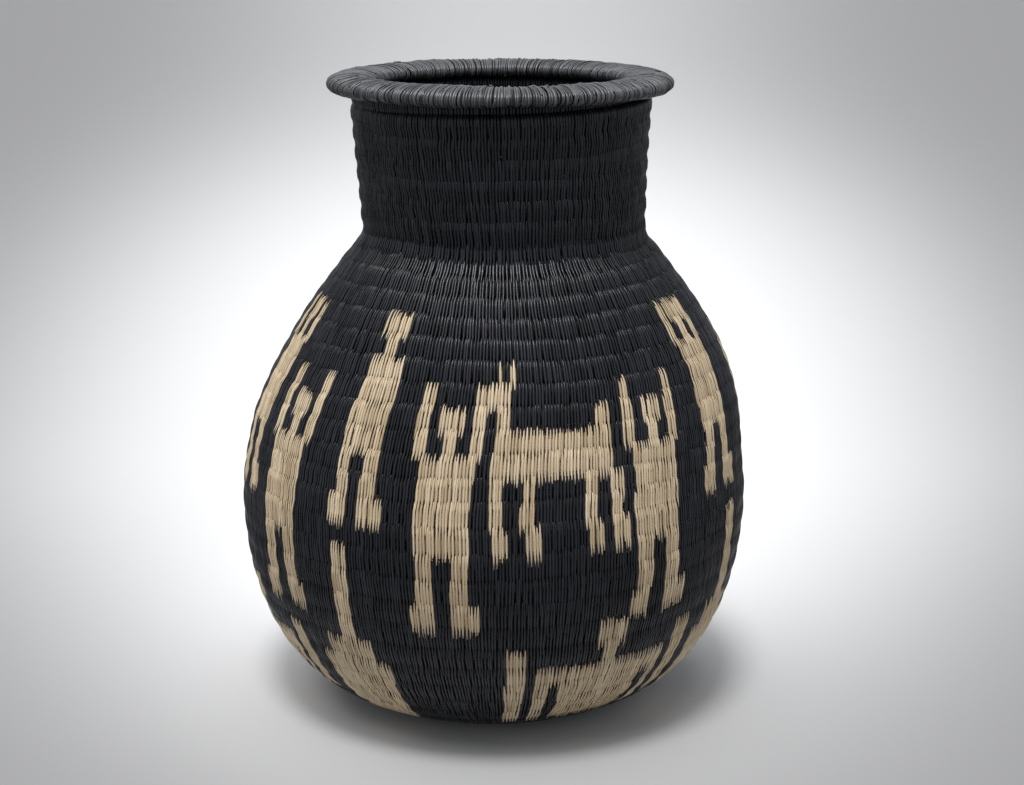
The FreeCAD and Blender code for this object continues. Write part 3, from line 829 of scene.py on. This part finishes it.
# the pool of light painted into the sheet's colour, in metres
POOL_MIDDLE = 0.29       # how far behind the vase's axis it is palest
POOL_NEAR = 0.32         # how far it reaches forward from there
POOL_FAR = 1.2           # and how soon it levels off behind
POOL_WIDTH = 0.145       # half its width in front of the vase
POOL_SPREAD = 0.185      # how fast it widens to the back
POOL_OPENS = -0.3        # where it starts to widen
POOL_EDGE = 3.3          # how suddenly it ends
POOL_OUTSIDE = 0.30      # how pale the sheet is outside it
UNDER_PAINTED_LIGHT = 0.5         # how much paler painted light makes it under the vase, against the vase's shadow
UNDER_REACH = 0.14       # metres
SHEET_REACH = 8.0        # half the sheet's side, in metres
SHEET_LINES = 161        # mesh lines each way
SHEET_CROWDING = 5.0     # how closely the mesh crowds near the vase
# the sheet's colour at full painted light; the ramp runs down to black as the painted light falls
PALEST = (0.63, 0.63, 0.637, 1.0)


def painted_floor_light(x, y):
    """How pale the sheet's colour is at a place: a pool of light painted into it that widens behind
    the vase, and painted light close round the vase against its shadow."""
    ahead = y - POOL_MIDDLE
    along = np.where(ahead < 0, -ahead / POOL_NEAR, np.tanh(ahead / POOL_FAR))
    wide = POOL_WIDTH + POOL_SPREAD * np.maximum(y - POOL_OPENS, 0)
    light_pool_painted = np.exp(-np.hypot(x / wide, along) ** POOL_EDGE)
    under = 1 + UNDER_PAINTED_LIGHT * np.exp(-(x ** 2 + y ** 2) / UNDER_REACH ** 2)
    return under * (POOL_OUTSIDE + (1 - POOL_OUTSIDE) * light_pool_painted)


def backdrop():
    """A pale sheet that the vase stands on, finer meshed near the vase, with a pool of light painted
    into its colour.
    """
    lines = SHEET_LINES
    evenly = np.linspace(-SHEET_CROWDING, SHEET_CROWDING, lines)
    reach = np.sinh(evenly) / math.sinh(SHEET_CROWDING) * SHEET_REACH
    x, y = np.meshgrid(reach, reach, indexing="ij")
    points = np.stack([x, y, np.zeros_like(x)], axis=-1).reshape(-1, 3)
    index = np.arange(lines * lines).reshape(lines, lines)
    corners = [index[:-1, :-1], index[1:, :-1], index[1:, 1:], index[:-1, 1:]]
    faces = np.stack(corners, axis=-1).reshape(-1, 4)
    mesh = bpy.data.meshes.new("floor_sheet")
    mesh.from_pydata(points.tolist(), [], faces.tolist())
    # the shade attribute holds the painted pool of light and the painted light under the vase
    shade = mesh.attributes.new("shade", "FLOAT", "POINT")
    shade.data.foreach_set("value", painted_floor_light(x, y).reshape(-1).astype(np.float32))
    floor = bpy.data.objects.new("floor_sheet", mesh)
    bpy.context.scene.collection.objects.link(floor)
    material = bpy.data.materials.new("sheet_with_painted_light")
    nodes, links, shader = node_set(material)
    painted_light_attribute = nodes.new("ShaderNodeAttribute")
    painted_light_attribute.attribute_name = "shade"
    fade = nodes.new("ShaderNodeValToRGB")
    fade.color_ramp.elements[0].color = (0.0, 0.0, 0.0, 1.0)
    fade.color_ramp.elements[1].color = PALEST
    links.new(painted_light_attribute.outputs["Fac"], fade.inputs[0])
    links.new(fade.outputs[0], shader.inputs["Base Color"])
    shader.inputs["Roughness"].default_value = 0.8
    shader.inputs["Specular IOR Level"].default_value = 0.1
    mesh.materials.append(material)


def soft_sun(name, aim, strength, spread):
    """Broad even light that shines along aim; spread is in degrees."""
    light = bpy.data.lights.new(name, "SUN")
    light.energy = strength
    light.angle = math.radians(spread)
    lamp = bpy.data.objects.new(name, light)
    lamp.location = -2.0 * Vector(aim)
    lamp.rotation_euler = Vector(aim).to_track_quat("-Z", "Y").to_euler()
    bpy.context.scene.collection.objects.link(lamp)


def surroundings(strength, colour):
    world = bpy.data.worlds.new("studio")
    bpy.context.scene.world = world
    world.use_nodes = True
    background = world.node_tree.nodes["Background"]
    background.inputs[0].default_value = (*colour, 1.0)
    background.inputs[1].default_value = strength


def camera():
    data = bpy.data.cameras.new("camera")
    data.lens = LENS
    data.sensor_width = SENSOR
    eye = bpy.data.objects.new("camera", data)
    eye.location = EYE
    eye.rotation_euler = (math.radians(90.0) - TILT, 0.0, 0.0)
    bpy.context.scene.collection.objects.link(eye)
    bpy.context.scene.camera = eye


backdrop()
bpy.context.scene.view_settings.view_transform = "Standard"
surroundings(strength=0.57, colour=(0.96, 0.98, 1.0))
soft_sun("overhead", aim=(0.20, 0.10, -1.0), strength=2.25, spread=60.0)
soft_sun("glint", aim=(0.06, 0.31, -0.95), strength=2.0, spread=14.0)
camera()
